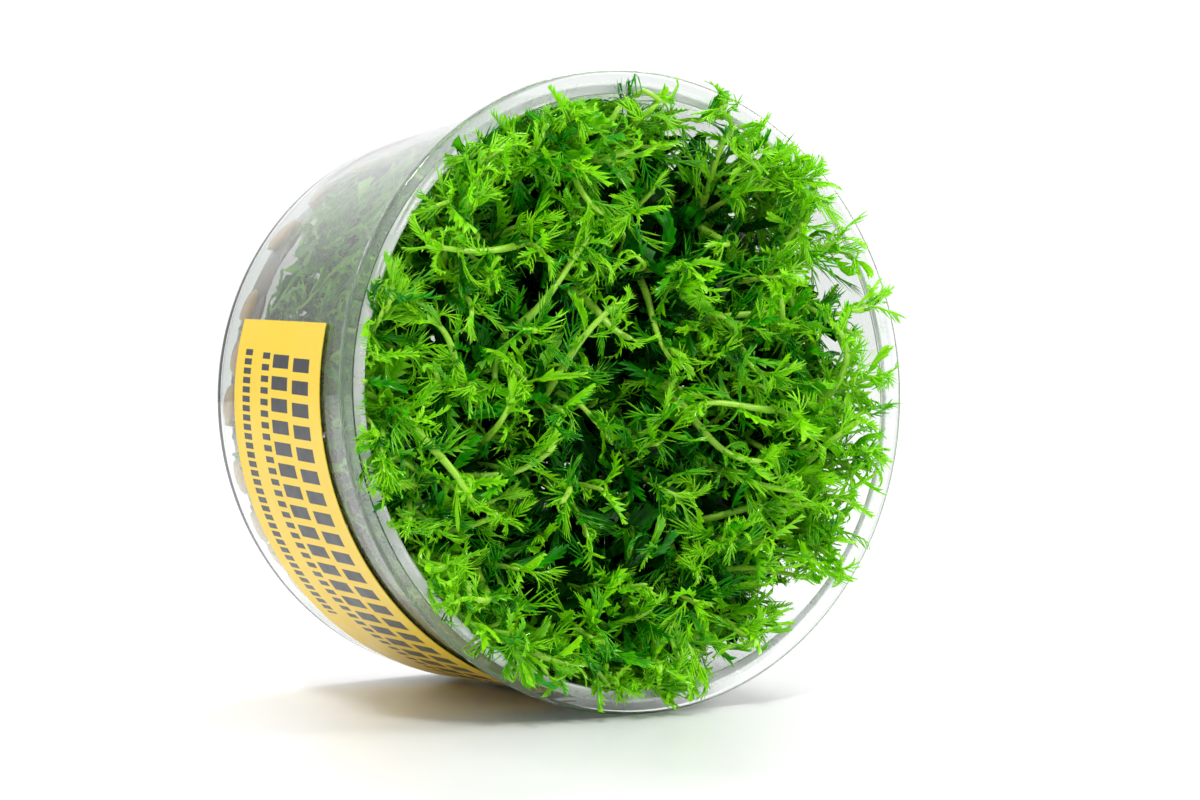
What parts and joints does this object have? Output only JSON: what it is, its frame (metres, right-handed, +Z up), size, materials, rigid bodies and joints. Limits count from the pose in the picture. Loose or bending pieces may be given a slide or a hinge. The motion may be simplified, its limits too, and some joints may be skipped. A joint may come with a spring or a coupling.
{
  "type": "potted aquarium plant in a tissue culture cup",
  "caption": "Clear flanged culture cup lying on its side, packed with feathery green milfoil shoots rooted in a disc of gel, with a plain paper label.",
  "frame": {"origin": "middle of the object's box, on the ground that the cup lies on", "axes": "+Z up; the cup's mouth faces -Y and tips up by about 4.6 degrees, as the cup rests on its flange and its base edge; +X to the right for someone who looks into the mouth"},
  "size_m": [0.1, 0.0782, 0.0998],
  "materials": {
    "clear_plastic": "gloss",
    "label_paper": "satin",
    "gel": "satin",
    "shoot_green": "satin"
  },
  "bodies": {
    "root": {"cup": "clear_plastic", "label": "label_paper", "gel": "gel", "shoot_01": "shoot_green", "shoot_02": "shoot_green", "shoot_03": "shoot_green", "shoot_04": "shoot_green", "shoot_05": "shoot_green", "shoot_06": "shoot_green", "shoot_07": "shoot_green", "shoot_08": "shoot_green", "shoot_09": "shoot_green", "shoot_10": "shoot_green", "shoot_11": "shoot_green", "shoot_12": "shoot_green", "shoot_13": "shoot_green", "shoot_14": "shoot_green", "shoot_15": "shoot_green", "shoot_16": "shoot_green", "shoot_17": "shoot_green", "shoot_18": "shoot_green", "shoot_19": "shoot_green", "shoot_20": "shoot_green", "shoot_21": "shoot_green", "shoot_22": "shoot_green", "shoot_23": "shoot_green", "shoot_24": "shoot_green", "shoot_25": "shoot_green", "shoot_26": "shoot_green", "shoot_27": "shoot_green", "shoot_28": "shoot_green", "shoot_29": "shoot_green", "shoot_30": "shoot_green", "shoot_31": "shoot_green", "shoot_32": "shoot_green", "shoot_33": "shoot_green", "shoot_34": "shoot_green", "shoot_35": "shoot_green", "shoot_36": "shoot_green", "shoot_37": "shoot_green", "shoot_38": "shoot_green", "shoot_39": "shoot_green", "shoot_40": "shoot_green", "shoot_41": "shoot_green", "shoot_42": "shoot_green"}
  },
  "joints": []
}
